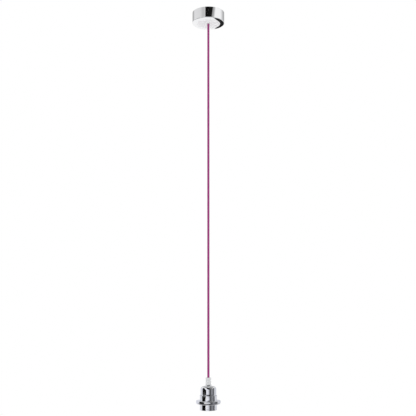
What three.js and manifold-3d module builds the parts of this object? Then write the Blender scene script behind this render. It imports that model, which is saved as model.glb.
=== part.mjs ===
// A pendant lamp cord set: a ceiling canopy, a textile cord and an E27 lampholder with a shade ring.
// Millimetres, +Z up. The origin is the middle of the ceiling bracket's upper face, in the ceiling plane.
import * as THREE from "three";
import { mergeVertices } from "three/addons/utils/BufferGeometryUtils.js";
import Module from "manifold-3d";

const wasm = await Module();
wasm.setup();

// Clearances and fineness
const touchGap = 0.3; // between faces that touch on the real object
const roundSides = 40; // sides of a large turned piece
const smallSides = 20; // sides of a small turned piece
const screwSides = 10; // sides of a screw, a wire hole or a cord
const towerSides = 12; // sides of a screw tower on the terminal block
const coreSides = 8; // sides of a core and its conductor
const arcSteps = 4; // steps in an edge radius
const cordSteps = 58; // lengths that the cord is drawn in
const coreSteps = 9; // lengths that a core is drawn in
const earthCoreSteps = 12; // lengths of the longer earth core in the lampholder
const overcut = 1; // how far a cutting tool goes past the face that it cuts
const mergeDistance = 1e-3; // points closer than this are one

// Canopy: a spun cup under the ceiling
const canopyRadius = 40;
const canopyHeight = 28.8;
const canopyWall = 1;
const canopyEdgeRadius = 1;
const canopyFloorRadius = 29.5; // flat middle of the underside
const canopyShoulderDrop = 0.8; // how far the flat middle stands below the outer edge

// Ceiling bracket: a folded steel strip
const bracketThickness = 1.5;
const bracketWidth = 20;
const bracketBendRadius = 1.2;
const earWidth = 12;
const earDepth = 14;
const earShoulder = 3; // length of the narrowed end before each ear
const slotLength = 10;
const slotWidth = 5.6;
const slotInset = 9.1; // from an ear's outer face to the middle of its fixing slot
const canopyScrewRadius = 2;
const canopyScrewLength = 6;
const canopyScrewDrop = 9; // from the ceiling to the canopy's side screws

// Cord and its cores
const cordRadius = 2.7;
const freeCordLength = 874;
const cordInsideCanopy = 12; // from the canopy's underside to the cord's stripped upper end
const coreRadius = 1;
const conductorRadius = 0.55;
const corePitchRadius = 1.4; // from the cord's axis to each core's axis
const liveAngle = 210; // where each core lies in the cord, in degrees from +X
const neutralAngle = 330;
const earthAngle = 90;

// Cord bushing and cord stop on the canopy's floor
const bushingWall = 0.9;
const bushingFlangeWidth = 1.7;
const bushingFlange = 1.2;
const bushingLipWidth = 0.5;
const bushingLip = 0.4;
const stopRadius = 6;
const stopHeight = 8;
const stopScrewRadius = 1.4;

// Terminal block under the bracket
const poleCount = 3;
const polePitch = 10;
const blockLength = 14;
const blockBodyHeight = 7.4;
const blockEndWall = 4.2; // from the outer pole's axis to the block's end
const blockOffset = 7; // from the cord's axis to the block's near face
const towerRadius = 2.6;
const towerHeight = 3.6;
const poleScrewSpacing = 7;
const insertSide = 4.4;
const insertBoreRadius = 1.4;
const terminalScrewRadius = 1.2;
const screwHeadRadius = 2.1;
const screwHeadHeight = 1.4;
const screwSlotWidth = 0.7;
const screwSlotDepth = 0.6;
const blockScrewHeadRadius = 2;
const bareEndPastScrew = 2; // how far a core's bare end reaches past its pole's screw
const coreStub = 1.2; // straight end of a core before its pole
const earthScrewInset = 7.6; // from the right ear's outer face
const earthScrewY = 6.6;
const linkBareLength = 4; // bare end of the earth link inside its pole
const linkRise = 0.1; // how much the link climbs over its first stub
const linkStandoff = 1.5; // from the washer to the link's sleeve
const linkSag = 0.7; // how far the sleeve's end lies below the clamped wire
const linkRootShare = 0.4; // how deep the link's bare end is rooted in its sleeve
const linkSteps = 6; // lengths that the link's ends are drawn in
const clampWasher = 6;
const clampWasherThickness = 0.8;

// Cord grip in the lampholder's neck
const gripHeight = 17;
const gripCollarRadius = 6.7;
const gripCollarHeight = 5;
const gripWaistRadius = 6.1;
const gripFootRadius = 6.5;
const gripFootHeight = 4;
const gripEdge = 0.8;
const gripThreadRadius = 4.9;
const gripThreadLength = 8.2;
const gripScrewRadius = 1.6;
const gripScrewDrop = 9; // from the grip's top to its clamping screw
const gripScrewProud = 0.5;

// Dome, the upper shell of the lampholder
const domeRadius = 18.5;
const domeWall = 1.2;
const domeHeight = 20.8; // from the dome's top to the barrel
const domeShoulderRadius = 6.5;
const neckRadius = 8.4;
const neckHeight = 2.2;
const neckEdge = 0.6;
const bossRadius = 7.3;
const bossLength = 5;
const domeOverlap = 4.5; // how far the dome reaches into the barrel

// Barrel, the lower shell, threaded outside for the shade ring
const barrelRadius = 20;
const barrelHeight = 33.7;
const barrelWall = 2.6;
const barrelLip = 0.3;
const barrelLipHeight = 1.6;
const barrelEdge = 0.6;

// Shade ring: a channel, curled in at its lower edge, that screws along the barrel
const ringRadius = 28.8;
const ringHeight = 9.2;
const ringAboveMouth = 12.7; // from the barrel's mouth to the ring's lower face
const ringTopRadius = 2.6;
const ringBottomRadius = 3;
const ringWall = 1.8;
const ringWeb = 2;
const ringCollarWall = 2;

// Socket insert and its contacts
const flangeThickness = 3.4;
const deckRise = 4.6; // from the flange's upper face to the deck
const deckThickness = 8.6;
const insertWall = 2.7;
const insertEdge = 0.8;
const insertRecess = 2; // from the barrel's mouth up to the insert's rim
const shellRadius = 13.9;
const shellWall = 0.6;
const shellRecess = 4; // from the barrel's mouth up to the threaded shell's rim
const shellEyeRadius = 6.5;
const contactThickness = 0.5;
const contactWidth = 5.2;
const contactLegX = -5.05;
const contactDrop = 2.4; // from the threaded shell's top to the contact's bend
const contactSpring = 1.9; // how far the tongue's tip stands below the bend
const contactTipX = 3.2;
const contactTipLength = 1; // length of the tip's upturned end
const contactTabReach = 2; // how far the tab goes past the live terminal's screw
const terminalX = 10.1; // from the axis to each mains terminal
const terminalLength = 6.2;
const terminalWidth = 6;
const terminalHeight = 6;
const terminalWireRise = 2.5; // from a terminal's foot to its wire hole
const terminalEndWall = 1; // wall behind the wire hole
const bareEndPastMiddle = 1; // how far a core's bare end reaches past the terminal's middle
const wireHoleRadius = 1.25;
const terminalStudLength = 5;
const studSeat = 0.5; // how far a stud is rooted in its terminal
const earthTerminalY = 10.6;
const earthTerminalWidth = 5.6;
const earthTerminalDepth = 4.4;
const earthTerminalHeight = 6;
const earthSeatGap = 0.45;
const earthHoleRoof = 2; // material above the earth terminal's wire hole
const earthCoreStub = 1.5; // straight ends of the earth core in the lampholder
const earthLoopDrop = 5; // how far the earth core dips before it rises into its terminal
const rivetReach = 1; // how far the rivet goes into the terminal
const rivetHeadRadius = 2;
const rivetHeadHeight = 0.8;

// Heights, worked out from the ceiling downwards
const canopyFloor = -canopyHeight;
const gripTop = canopyFloor - freeCordLength;
const neckTop = gripTop - gripHeight - touchGap;
const domeTop = neckTop - neckHeight;
const barrelTop = domeTop - domeHeight;
const mouth = barrelTop - barrelHeight;
const domeFoot = barrelTop - domeOverlap;
const flangeTop = domeFoot - touchGap;
const flangeFoot = flangeTop - flangeThickness;
const ledge = flangeFoot - touchGap;
const deckTop = flangeTop + deckRise;
const deckFoot = deckTop - deckThickness;
const shellTop = deckFoot - touchGap;
const ringFoot = mouth + ringAboveMouth;
const ringTop = ringFoot + ringHeight;
const cordTop = canopyFloor + cordInsideCanopy;
const cordFoot = neckTop - gripThreadLength - 4 * touchGap;
const boreRadius = cordRadius + touchGap;

// Finishes
const finish = (color, roughness, metalness, opacity = 1) =>
  new THREE.MeshStandardMaterial({ color, roughness, metalness, opacity, transparent: opacity < 1 });
const chrome = finish(0xe6e8ea, 0.06, 1);
const zincSteel = finish(0xb9bcc0, 0.35, 1);
const brass = finish(0xc9a352, 0.3, 1);
const clearPlastic = finish(0xe4ebee, 0.2, 0, 0.5);
const textile = finish(0x8d2a6d, 0.85, 0);
const porcelain = finish(0xf3f1ea, 0.3, 0);
const whitePlastic = finish(0xeeeeea, 0.45, 0);
const brownCore = finish(0x6b3f22, 0.5, 0);
const blueCore = finish(0x2a5ea8, 0.5, 0);
const greenCore = finish(0x5d9a3a, 0.5, 0);

const pendant = new THREE.Group();

function add(name, geometry, material, parent = pendant) {
  const mesh = new THREE.Mesh(geometry, material);
  mesh.name = name;
  parent.add(mesh);
  return mesh;
}

// Joining and cutting
function solid(geometry) {
  const bare = geometry.index ? geometry.toNonIndexed() : geometry.clone();
  bare.deleteAttribute("normal");
  bare.deleteAttribute("uv");
  const merged = mergeVertices(bare, mergeDistance);
  return new wasm.Manifold(
    new wasm.Mesh({
      numProp: 3,
      vertProperties: merged.attributes.position.array,
      triVerts: new Uint32Array(merged.index.array),
    }),
  );
}

function surface(manifold) {
  const { numProp, vertProperties, triVerts } = manifold.getMesh();
  const points = new Float32Array((vertProperties.length / numProp) * 3);
  for (let i = 0; i < points.length / 3; i++)
    points.set(vertProperties.subarray(i * numProp, i * numProp + 3), i * 3);
  const geometry = new THREE.BufferGeometry();
  geometry.setAttribute("position", new THREE.BufferAttribute(points, 3));
  geometry.setIndex(new THREE.BufferAttribute(new Uint32Array(triVerts), 1));
  geometry.computeVertexNormals();
  return geometry;
}

const join = (first, ...more) =>
  surface(more.reduce((whole, piece) => whole.add(solid(piece)), solid(first)));
const cut = (body, ...tools) =>
  surface(tools.reduce((rest, tool) => rest.subtract(solid(tool)), solid(body)));

// Basic forms
const at = (x, y, z) => new THREE.Vector3(x, y, z);

// A turned piece about the Z axis, from its closed section of [radius, z] points.
function turned(section, sides) {
  const points = section.map(([radius, z]) => new THREE.Vector2(radius, z));
  if (THREE.ShapeUtils.isClockWise(points)) points.reverse();
  if (points.every((point) => point.x > 0)) points.push(points[0].clone());
  return new THREE.LatheGeometry(points, sides).rotateX(Math.PI / 2);
}

// Points of an arc in a section, from one angle to another in degrees.
function arc(centreRadius, centreZ, radius, from, to, steps = arcSteps) {
  return Array.from({ length: steps + 1 }, (_, i) => {
    const angle = THREE.MathUtils.degToRad(from + ((to - from) * i) / steps);
    return [centreRadius + radius * Math.cos(angle), centreZ + radius * Math.sin(angle)];
  });
}

// A straight round bar between two points.
function bar(from, to, radius, sides = screwSides) {
  const run = to.clone().sub(from);
  const turn = new THREE.Quaternion().setFromUnitVectors(at(0, 1, 0), run.clone().normalize());
  const middle = from.clone().addScaledVector(run, 0.5);
  return new THREE.CylinderGeometry(radius, radius, run.length(), sides)
    .applyQuaternion(turn)
    .translate(middle.x, middle.y, middle.z);
}

// A box between two opposite corners.
function block(low, high) {
  const size = high.clone().sub(low);
  const middle = low.clone().add(high).multiplyScalar(0.5);
  return new THREE.BoxGeometry(size.x, size.y, size.z).translate(middle.x, middle.y, middle.z);
}

// A round wire or cord through points.
function wire(points, radius, steps, sides) {
  const ring = Array.from({ length: sides }, (_, i) => {
    const angle = (2 * Math.PI * i) / sides;
    return new THREE.Vector2(radius * Math.cos(angle), radius * Math.sin(angle));
  });
  return new THREE.ExtrudeGeometry(new THREE.Shape(ring), {
    steps,
    bevelEnabled: false,
    extrudePath: new THREE.CatmullRomCurve3(points, false, "centripetal"),
  });
}

// A sheet strip folded along [x, z] corners with rounded bends, centred on y = 0.
function foldedStrip(corners, bendRadius, thickness, width) {
  const path = new THREE.Path();
  const spots = corners.map(([x, z]) => new THREE.Vector2(x, z));
  path.moveTo(spots[0].x, spots[0].y);
  for (let i = 1; i < spots.length - 1; i++) {
    const before = spots[i - 1].clone().sub(spots[i]).setLength(bendRadius).add(spots[i]);
    const after = spots[i + 1].clone().sub(spots[i]).setLength(bendRadius).add(spots[i]);
    path.lineTo(before.x, before.y);
    path.quadraticCurveTo(spots[i].x, spots[i].y, after.x, after.y);
  }
  path.lineTo(spots.at(-1).x, spots.at(-1).y);
  const line = path
    .getPoints(arcSteps)
    .filter((point, i, all) => !i || point.distanceTo(all[i - 1]) > mergeDistance);
  const runs = line.slice(1).map((point, i) => point.clone().sub(line[i]).normalize());
  const side = (offset) =>
    line.map((point, i) => {
      const inward = runs[Math.max(i - 1, 0)];
      const outward = runs[Math.min(i, runs.length - 1)];
      const along = inward.clone().add(outward).normalize();
      const stretch = offset / along.dot(outward);
      return new THREE.Vector2(point.x - along.y * stretch, point.y + along.x * stretch);
    });
  const outline = new THREE.Shape([...side(thickness / 2), ...side(-thickness / 2).reverse()]);
  return new THREE.ExtrudeGeometry(outline, { depth: width, bevelEnabled: false, steps: 1 })
    .rotateX(Math.PI / 2)
    .translate(0, width / 2, 0);
}

// A screw along X or Z, from its head's outer end to its tip: a shank, a head where it has one, and a slot.
function screw(headEnd, tip, radius, headRadius, headHeight) {
  const along = tip.clone().sub(headEnd).normalize();
  const neck = headEnd.clone().addScaledVector(along, headHeight);
  const shank = bar(headEnd, tip, radius);
  const body = headHeight > 0 ? join(shank, bar(headEnd, neck, headRadius)) : shank;
  const reach = 2 * Math.max(headRadius, radius);
  const across = at(0, 1, 0);
  const turn = new THREE.Matrix4().makeBasis(across, along.clone().cross(across), along);
  const slot = new THREE.BoxGeometry(screwSlotWidth, reach, 2 * screwSlotDepth)
    .applyMatrix4(turn)
    .translate(headEnd.x, headEnd.y, headEnd.z);
  return cut(body, slot);
}

// A core: its insulated run, and its bare end that goes on from the last point.
function core(points, bareEnd, steps = coreSteps) {
  const last = points.at(-1);
  const sleeve = wire(points, coreRadius, steps, coreSides);
  const inner = last.clone().sub(bareEnd).setLength(coreRadius).add(last);
  return join(sleeve, bar(inner, bareEnd, conductorRadius, coreSides));
}

// Where each core leaves the cord's end, seen from above.
const coreSpot = (degrees) => {
  const angle = THREE.MathUtils.degToRad(degrees);
  return [corePitchRadius * Math.cos(angle), corePitchRadius * Math.sin(angle)];
};
const liveSpot = coreSpot(liveAngle);
const neutralSpot = coreSpot(neutralAngle);
const earthSpot = coreSpot(earthAngle);

// Canopy pieces
const bushingRadius = boreRadius + bushingWall;
const canopyHoleRadius = bushingRadius + touchGap;
const canopyInnerRadius = canopyRadius - canopyWall;

function canopyCup() {
  const edge = canopyFloor + canopyShoulderDrop;
  const innerFloor = canopyFloor + canopyWall;
  const section = [
    [canopyRadius, 0],
    ...arc(canopyRadius - canopyEdgeRadius, edge + canopyEdgeRadius, canopyEdgeRadius, 0, -90),
    [canopyFloorRadius, canopyFloor],
    [canopyHoleRadius, canopyFloor],
    [canopyHoleRadius, innerFloor],
    [canopyFloorRadius, innerFloor],
    [canopyInnerRadius - canopyEdgeRadius, edge + canopyWall],
    [canopyInnerRadius, edge + canopyWall + canopyEdgeRadius],
    [canopyInnerRadius, 0],
  ];
  const sideHole = bar(
    at(-canopyRadius - canopyWall, 0, -canopyScrewDrop),
    at(canopyRadius + canopyWall, 0, -canopyScrewDrop),
    canopyScrewRadius + touchGap,
  );
  return cut(turned(section, roundSides), sideHole);
}

// The ears stop short of the cup's wall at their corners, which reach furthest out.
const innerFlat = canopyInnerRadius * Math.cos(Math.PI / roundSides) - touchGap;
const earOuter = Math.sqrt(innerFlat ** 2 - (earWidth / 2) ** 2);
const slotCentre = earOuter - slotInset;
const earthScrewX = earOuter - earthScrewInset;
const blockEnd = ((poleCount - 1) / 2) * polePitch + blockEndWall;
const blockTop = -bracketThickness - touchGap;
const blockFoot = blockTop - blockBodyHeight;
const blockMiddle = blockOffset + blockLength / 2;
const wireLevel = blockTop - blockBodyHeight / 2;
const fixingY = polePitch / 2;

// A round hole through the bracket's flat.
const bracketHole = (x, y, radius, sides = screwSides) =>
  bar(at(x, y, -2 * bracketThickness), at(x, y, overcut), radius, sides);

function ceilingBracket() {
  const middle = -bracketThickness / 2;
  const earMiddle = earOuter - bracketThickness / 2;
  const strip = foldedStrip(
    [
      [-earMiddle, -earDepth],
      [-earMiddle, middle],
      [earMiddle, middle],
      [earMiddle, -earDepth],
    ],
    bracketBendRadius,
    bracketThickness,
    bracketWidth,
  );
  const tools = [
    bracketHole(blockMiddle, fixingY, terminalScrewRadius + touchGap),
    bracketHole(earthScrewX, earthScrewY, terminalScrewRadius + touchGap),
  ];
  const cornerX = (earOuter - earShoulder + canopyRadius) / 2;
  const cornerY = (earWidth + bracketWidth) / 4;
  const reach = (slotLength - slotWidth) / 2;
  for (const side of [-1, 1]) {
    for (const end of [-1, 1]) {
      const corner = at(side * cornerX, end * cornerY, -earDepth + overcut / 2);
      const half = at(canopyRadius - cornerX, bracketWidth / 2 - cornerY, earDepth + overcut / 2);
      tools.push(block(corner.clone().sub(half), corner.add(half)));
      tools.push(bracketHole(side * slotCentre + end * reach, 0, slotWidth / 2, smallSides));
    }
    const slotLow = at(side * slotCentre - reach, -slotWidth / 2, -2 * bracketThickness);
    const slotHigh = at(side * slotCentre + reach, slotWidth / 2, overcut);
    tools.push(block(slotLow, slotHigh));
    const screwIn = at(side * slotCentre, 0, -canopyScrewDrop);
    const screwOut = at(side * canopyRadius, 0, -canopyScrewDrop);
    tools.push(bar(screwIn, screwOut, canopyScrewRadius + touchGap));
  }
  return cut(strip, ...tools);
}

function canopyScrew(side) {
  const outer = canopyRadius - touchGap;
  return screw(
    at(side * outer, 0, -canopyScrewDrop),
    at(side * (outer - canopyScrewLength), 0, -canopyScrewDrop),
    canopyScrewRadius,
    canopyScrewRadius,
    0,
  );
}

const bushingTop = canopyFloor + canopyWall + touchGap + bushingFlange;

function cordBushing() {
  const lipTop = canopyFloor - touchGap;
  const section = [
    [boreRadius, bushingTop],
    [bushingRadius + bushingFlangeWidth, bushingTop],
    [bushingRadius + bushingFlangeWidth, bushingTop - bushingFlange],
    [bushingRadius, bushingTop - bushingFlange],
    [bushingRadius, lipTop],
    [bushingRadius + bushingLipWidth, lipTop],
    [bushingRadius + bushingLipWidth, lipTop - bushingLip / 2],
    [bushingRadius, lipTop - bushingLip],
    [boreRadius, lipTop - bushingLip],
  ];
  return turned(section, smallSides);
}

const stopFoot = bushingTop + touchGap;
const stopScrewHeight = stopFoot + stopHeight / 2;

function cordStop() {
  const section = [
    [boreRadius, stopFoot],
    [stopRadius, stopFoot],
    [stopRadius, stopFoot + stopHeight],
    [boreRadius, stopFoot + stopHeight],
  ];
  const outside = at(-2 * stopRadius, 0, stopScrewHeight);
  const hole = bar(at(0, 0, stopScrewHeight), outside, stopScrewRadius + touchGap);
  return cut(turned(section, smallSides), hole);
}

const cordStopScrew = () =>
  screw(
    at(-stopRadius - touchGap - screwHeadHeight, 0, stopScrewHeight),
    at(-boreRadius, 0, stopScrewHeight),
    stopScrewRadius,
    screwHeadRadius,
    screwHeadHeight,
  );

const poleY = (pole) => (pole - (poleCount - 1) / 2) * polePitch;
const poleScrewX = (end) => blockMiddle + (end * poleScrewSpacing) / 2;
const towerFoot = blockFoot - towerHeight;

function terminalBlock() {
  const nearLow = at(blockOffset, -blockEnd, blockFoot);
  const farHigh = at(blockOffset + blockLength, blockEnd, blockTop);
  const hole = insertSide / 2 + touchGap;
  const towers = [];
  const fixingFoot = at(blockMiddle, fixingY, 2 * blockFoot);
  const fixingTop = at(blockMiddle, fixingY, overcut);
  const tools = [bar(fixingFoot, fixingTop, terminalScrewRadius + touchGap)];
  for (let pole = 0; pole < poleCount; pole++) {
    const y = poleY(pole);
    const low = at(0, y - hole, wireLevel - hole);
    const high = at(2 * blockMiddle, y + hole, wireLevel + hole);
    tools.push(block(low, high));
    for (const end of [-1, 1]) {
      const x = poleScrewX(end);
      towers.push(bar(at(x, y, towerFoot), at(x, y, wireLevel), towerRadius, towerSides));
      tools.push(bar(at(x, y, 2 * towerFoot), at(x, y, wireLevel), terminalScrewRadius + touchGap));
    }
  }
  return cut(join(block(nearLow, farHigh), ...towers), ...tools);
}

function poleInsert(pole) {
  const y = poleY(pole);
  const half = insertSide / 2;
  const near = blockOffset + touchGap;
  const far = blockOffset + blockLength - touchGap;
  const tools = [bar(at(0, y, wireLevel), at(2 * blockMiddle, y, wireLevel), insertBoreRadius)];
  for (const end of [-1, 1]) {
    const x = poleScrewX(end);
    tools.push(bar(at(x, y, towerFoot), at(x, y, wireLevel), terminalScrewRadius + touchGap));
  }
  const body = block(at(near, y - half, wireLevel - half), at(far, y + half, wireLevel + half));
  return cut(body, ...tools);
}

const poleScrew = (pole, end) =>
  screw(
    at(poleScrewX(end), poleY(pole), towerFoot + touchGap),
    at(poleScrewX(end), poleY(pole), wireLevel - conductorRadius - touchGap),
    terminalScrewRadius,
    terminalScrewRadius,
    0,
  );

const blockScrew = () =>
  screw(
    at(blockMiddle, fixingY, blockFoot - touchGap - screwHeadHeight),
    at(blockMiddle, fixingY, -touchGap),
    terminalScrewRadius,
    blockScrewHeadRadius,
    screwHeadHeight,
  );

const clampTop = -bracketThickness - 2 * touchGap - 2 * conductorRadius;
const earthWireY = earthScrewY + terminalScrewRadius + touchGap + conductorRadius;

function earthWasher() {
  const half = clampWasher / 2;
  const plate = block(
    at(earthScrewX - half, earthScrewY - half, clampTop - clampWasherThickness),
    at(earthScrewX + half, earthScrewY + half, clampTop),
  );
  const hole = bar(
    at(earthScrewX, earthScrewY, 3 * clampTop),
    at(earthScrewX, earthScrewY, 0),
    terminalScrewRadius + touchGap,
  );
  return cut(plate, hole);
}

const bracketEarthScrew = () =>
  screw(
    at(earthScrewX, earthScrewY, clampTop - clampWasherThickness - touchGap - screwHeadHeight),
    at(earthScrewX, earthScrewY, -touchGap),
    terminalScrewRadius,
    screwHeadRadius,
    screwHeadHeight,
  );

function earthLink() {
  const blockFar = blockOffset + blockLength;
  const start = at(blockFar + touchGap, poleY(poleCount - 1), wireLevel);
  const stub = at(start.x + coreStub, start.y, start.z + linkRise);
  const clamp = at(earthScrewX - clampWasher / 2, earthWireY, clampTop + touchGap + conductorRadius);
  const rest = at(clamp.x - linkStandoff, clamp.y, clamp.z - linkSag);
  const root = rest.clone().lerp(clamp, -linkRootShare);
  const sleeve = wire([start, stub, rest], coreRadius, linkSteps, coreSides);
  const inner = at(start.x + conductorRadius, start.y, start.z);
  const bareStart = bar(inner, at(start.x - linkBareLength, start.y, start.z), conductorRadius, coreSides);
  const bareEnd = wire(
    [root, clamp, at(clamp.x + clampWasher, clamp.y, clamp.z)],
    conductorRadius,
    linkSteps,
    coreSides,
  );
  return join(sleeve, bareStart, bareEnd);
}

// A core's way from the cord's end to its terminal, in shares of the whole way along X, Y and Z.
const canopyCoreWay = [
  [0, 0, 0.2],
  [0.12, 0.3, 0.5],
  [0.5, 0.75, 0.86],
];
const holderCoreWay = [
  [0, 0, 0.25],
  [0.15, 0.3, 0.6],
  [0.6, 1, 0.93],
];
const onTheWay = (start, end, shares) => start.clone().add(end.clone().sub(start).multiply(at(...shares)));

// A core in the canopy rises from the cord's end and turns into its pole.
function canopyCore([x, y], pole) {
  const start = at(x, y, cordTop + touchGap);
  const face = at(blockOffset - touchGap, poleY(pole), wireLevel);
  const bends = canopyCoreWay.map((shares) => onTheWay(start, face, shares));
  const points = [start, ...bends, at(face.x - coreStub, face.y, face.z), face];
  return core(points, at(poleScrewX(-1) + bareEndPastScrew, face.y, face.z));
}

// Lampholder pieces
const gripFoot = gripTop - gripHeight;
const gripScrewHeight = gripTop - gripScrewDrop;
const neckHoleRadius = gripThreadRadius + touchGap;

function cordGrip() {
  const section = [
    [boreRadius, gripTop],
    [gripCollarRadius - gripEdge, gripTop],
    [gripCollarRadius, gripTop - gripEdge],
    [gripCollarRadius, gripTop - gripCollarHeight + gripEdge],
    [gripWaistRadius, gripTop - gripCollarHeight],
    [gripWaistRadius, gripFoot + gripFootHeight],
    [gripFootRadius, gripFoot + gripFootHeight - gripEdge],
    [gripFootRadius, gripFoot],
    [gripThreadRadius, gripFoot],
    [gripThreadRadius, neckTop - gripThreadLength],
    [boreRadius, neckTop - gripThreadLength],
  ];
  const outside = at(2 * gripWaistRadius, 0, gripScrewHeight);
  const hole = bar(at(0, 0, gripScrewHeight), outside, gripScrewRadius + touchGap);
  return cut(turned(section, smallSides), hole);
}

const cordGripScrew = () =>
  screw(
    at(gripWaistRadius + gripScrewProud, 0, gripScrewHeight),
    at(boreRadius, 0, gripScrewHeight),
    gripScrewRadius,
    gripScrewRadius,
    0,
  );

const rivetHole = () => {
  const foot = at(0, earthTerminalY, domeTop - 3 * domeWall);
  return bar(foot, at(0, earthTerminalY, neckTop), terminalScrewRadius + touchGap);
};

function dome() {
  const innerRadius = domeRadius - domeWall;
  const shoulderCentre = domeRadius - domeShoulderRadius;
  const shoulderZ = domeTop - domeShoulderRadius;
  const section = [
    [neckHoleRadius, neckTop],
    [neckRadius - neckEdge, neckTop],
    [neckRadius, neckTop - neckEdge],
    [neckRadius, domeTop],
    ...arc(shoulderCentre, shoulderZ, domeShoulderRadius, 90, 0, 2 * arcSteps),
    [domeRadius, domeFoot],
    [innerRadius, domeFoot],
    ...arc(shoulderCentre, shoulderZ, domeShoulderRadius - domeWall, 0, 90),
    [bossRadius, domeTop - domeWall],
    [bossRadius, domeTop - domeWall - bossLength],
    [neckHoleRadius, domeTop - domeWall - bossLength],
  ];
  return cut(turned(section, roundSides), rivetHole());
}

const barrelBoreRadius = domeRadius + touchGap;
const barrelInnerRadius = barrelRadius - barrelWall;

function barrel() {
  const section = [
    [barrelBoreRadius, barrelTop],
    [barrelRadius + barrelLip - barrelEdge / 2, barrelTop],
    [barrelRadius + barrelLip, barrelTop - barrelEdge / 2],
    [barrelRadius + barrelLip, barrelTop - barrelLipHeight],
    [barrelRadius, barrelTop - barrelLipHeight - barrelLip],
    [barrelRadius, mouth + barrelEdge],
    [barrelRadius - barrelEdge, mouth],
    [barrelInnerRadius, mouth],
    [barrelInnerRadius, ledge],
    [barrelBoreRadius, ledge],
  ];
  return turned(section, roundSides);
}

const ringBoreRadius = barrelRadius + touchGap;

function shadeRing() {
  const collar = ringBoreRadius / Math.cos(Math.PI / roundSides);
  const curl = [ringRadius - ringBottomRadius, ringFoot + ringBottomRadius];
  const section = [
    [collar, ringTop],
    ...arc(ringRadius - ringTopRadius, ringTop - ringTopRadius, ringTopRadius, 90, 0),
    ...arc(...curl, ringBottomRadius, 0, -90),
    ...arc(...curl, ringBottomRadius - ringWall, -90, 0),
    [ringRadius - ringWall, ringTop - ringWeb - ringTopRadius / 2],
    [ringRadius - ringWall - ringTopRadius / 2, ringTop - ringWeb],
    [collar + ringCollarWall, ringTop - ringWeb],
    [collar + ringCollarWall, ringFoot],
    [collar, ringFoot],
  ];
  return turned(section, roundSides);
}

const insertOuterRadius = barrelInnerRadius - touchGap;
const insertBore = shellRadius + touchGap;
const contactSlot = () => {
  const half = contactThickness / 2 + 2 * touchGap;
  const reach = contactWidth / 2 + touchGap;
  const low = at(contactLegX - half, -reach, deckFoot - overcut);
  return block(low, at(contactLegX + half, reach, deckTop + overcut));
};
const screwHole = (x, from, to) => bar(at(x, 0, from), at(x, 0, to), terminalScrewRadius + touchGap);

function socketInsert() {
  const deckRadius = (domeRadius - domeWall) * Math.cos(Math.PI / roundSides) - touchGap;
  const rim = mouth + insertRecess;
  const section = [
    [0, deckTop],
    [deckRadius - insertEdge, deckTop],
    [deckRadius, deckTop - insertEdge],
    [deckRadius, flangeTop],
    [domeRadius, flangeTop],
    [domeRadius, flangeFoot],
    [insertOuterRadius, flangeFoot],
    [insertOuterRadius, rim],
    [insertOuterRadius - insertWall, rim],
    [insertBore, rim + touchGap],
    [insertBore, deckFoot],
    [0, deckFoot],
  ];
  const studHole = screwHole(-terminalX, deckTop - terminalStudLength, deckTop + overcut);
  const shellScrewHole = screwHole(terminalX, deckFoot - overcut, deckTop + overcut);
  return cut(turned(section, roundSides), contactSlot(), studHole, shellScrewHole);
}

function threadedShell() {
  const section = [
    [shellEyeRadius, shellTop],
    [shellRadius - shellWall, shellTop],
    [shellRadius, shellTop - shellWall],
    [shellRadius, mouth + shellRecess],
    [shellRadius - shellWall, mouth + shellRecess],
    [shellRadius - shellWall, shellTop - shellWall],
    [shellEyeRadius, shellTop - shellWall],
  ];
  return cut(turned(section, roundSides), screwHole(terminalX, shellTop - overcut, shellTop + overcut));
}

const tabTop = deckTop + touchGap + contactThickness;

function centreContact() {
  const tab = tabTop - contactThickness / 2;
  const bend = shellTop - contactDrop;
  const strip = foldedStrip(
    [
      [-terminalX - contactTabReach, tab],
      [contactLegX, tab],
      [contactLegX, bend],
      [contactTipX, bend - contactSpring],
      [contactTipX + contactTipLength, bend - contactSpring / 2],
    ],
    contactThickness,
    contactThickness,
    contactWidth,
  );
  return cut(strip, screwHole(-terminalX, deckTop, tabTop + overcut));
}

const liveFoot = tabTop + touchGap;
const neutralFoot = deckTop + touchGap;

// A mains terminal: a block with a wire hole from its inner side and a clamping screw from above.
function terminalBody(side, foot) {
  const x = side * terminalX;
  const half = terminalLength / 2;
  const level = foot + terminalWireRise;
  const top = foot + terminalHeight;
  const body = block(at(x - half, -terminalWidth / 2, foot), at(x + half, terminalWidth / 2, top));
  const holeEnd = at(x + side * (half - terminalEndWall), 0, level);
  const wireHole = bar(at(x - side * terminalLength, 0, level), holeEnd, wireHoleRadius);
  return cut(body, wireHole, screwHole(x, level, top + overcut));
}

const terminalScrew = (side, foot) =>
  screw(
    at(side * terminalX, 0, foot + terminalHeight + touchGap + screwHeadHeight),
    at(side * terminalX, 0, foot + terminalWireRise + conductorRadius + touchGap),
    terminalScrewRadius,
    screwHeadRadius,
    screwHeadHeight,
  );

function liveTerminal() {
  const studFoot = at(-terminalX, 0, deckTop - terminalStudLength + touchGap);
  const stud = bar(studFoot, at(-terminalX, 0, liveFoot + studSeat), terminalScrewRadius);
  return join(terminalBody(-1, liveFoot), stud);
}

const shellScrewTip = neutralFoot + terminalWireRise - wireHoleRadius - 2 * touchGap;
const neutralTerminal = () =>
  cut(terminalBody(1, neutralFoot), screwHole(terminalX, deckTop, shellScrewTip + touchGap));
const shellScrew = () =>
  screw(
    at(terminalX, 0, shellTop - shellWall - touchGap - screwHeadHeight),
    at(terminalX, 0, shellScrewTip),
    terminalScrewRadius,
    screwHeadRadius,
    screwHeadHeight,
  );

const earthTop = domeTop - domeWall - earthSeatGap;
const earthFoot = earthTop - earthTerminalHeight;
const earthScrewHeight = earthFoot + terminalWireRise;

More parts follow.
